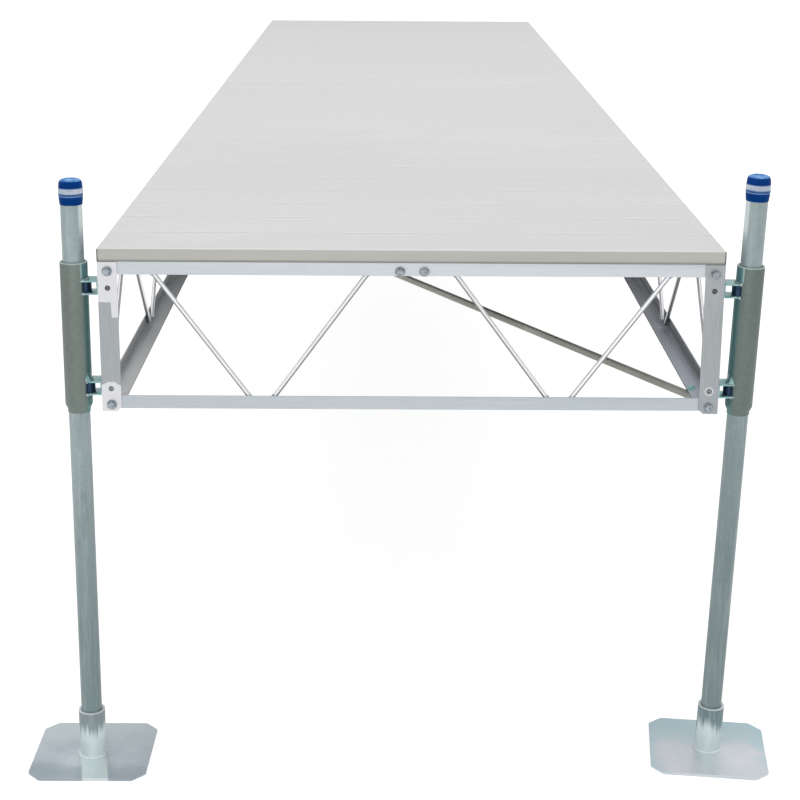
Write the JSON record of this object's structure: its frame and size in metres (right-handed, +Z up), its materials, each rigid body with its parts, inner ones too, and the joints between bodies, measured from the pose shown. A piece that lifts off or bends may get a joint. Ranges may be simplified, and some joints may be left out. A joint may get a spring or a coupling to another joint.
{
  "type": "aluminum dock",
  "caption": "Aluminum dock section with a rod truss frame, drop-in deck panels and two height-adjustable pipe legs on flat feet at one end.",
  "frame": {"origin": "on the outer face of the far right corner post, midway between its two bolt holes", "axes": "+Y along the dock toward the bolted far end, +X across it to the right as seen from the leg end, +Z up"},
  "size_m": [1.5469, 4.975, 1.2413],
  "materials": {
    "deck": "satin",
    "frame": "satin",
    "post": "satin",
    "rod": "satin",
    "brace": "matt",
    "sleeve": "matt galvanised",
    "bracket": "galvanised",
    "pipe": "galvanised",
    "foot": "galvanised",
    "cap": "soft gloss vinyl"
  },
  "bodies": {
    "dock": {"deck_panel_1": "deck", "deck_panel_2": "deck", "deck_panel_3": "deck", "deck_panel_4": "deck", "front_top_rail": "frame", "front_bottom_rail": "frame", "rear_top_rail": "frame", "rear_bottom_rail": "frame", "front_web_rods": "rod", "rear_web_rods": "rod", "left_top_chord": "frame", "right_top_chord": "frame", "left_bottom_chord": "frame", "right_bottom_chord": "frame", "left_web_rods": "rod", "right_web_rods": "rod", "front_left_post": "post", "front_right_post": "post", "rear_left_post": "post", "rear_right_post": "post", "cross_member_1": "frame", "cross_member_2": "frame", "cross_member_3": "frame", "front_brace": "brace", "rear_brace": "brace", "left_sleeve": "sleeve", "right_sleeve": "sleeve", "left_upper_bracket": "bracket", "left_lower_bracket": "bracket", "right_upper_bracket": "bracket", "right_lower_bracket": "bracket"},
    "left_leg": {"left_pipe": "pipe", "left_cap": "cap", "left_socket": "foot", "left_foot": "foot"},
    "right_leg": {"right_pipe": "pipe", "right_cap": "cap", "right_socket": "foot", "right_foot": "foot"}
  },
  "joints": [
    {"name": "left_leg_slide", "type": "slide", "parent": "dock", "child": "left_leg", "axis": [0, 0.0175, 0.9998], "range_m": [-0.103, 0.635]},
    {"name": "right_leg_slide", "type": "slide", "parent": "dock", "child": "right_leg", "axis": [0.0244, -0.0175, 0.9995], "range_m": [-0.12, 0.635]}
  ]
}
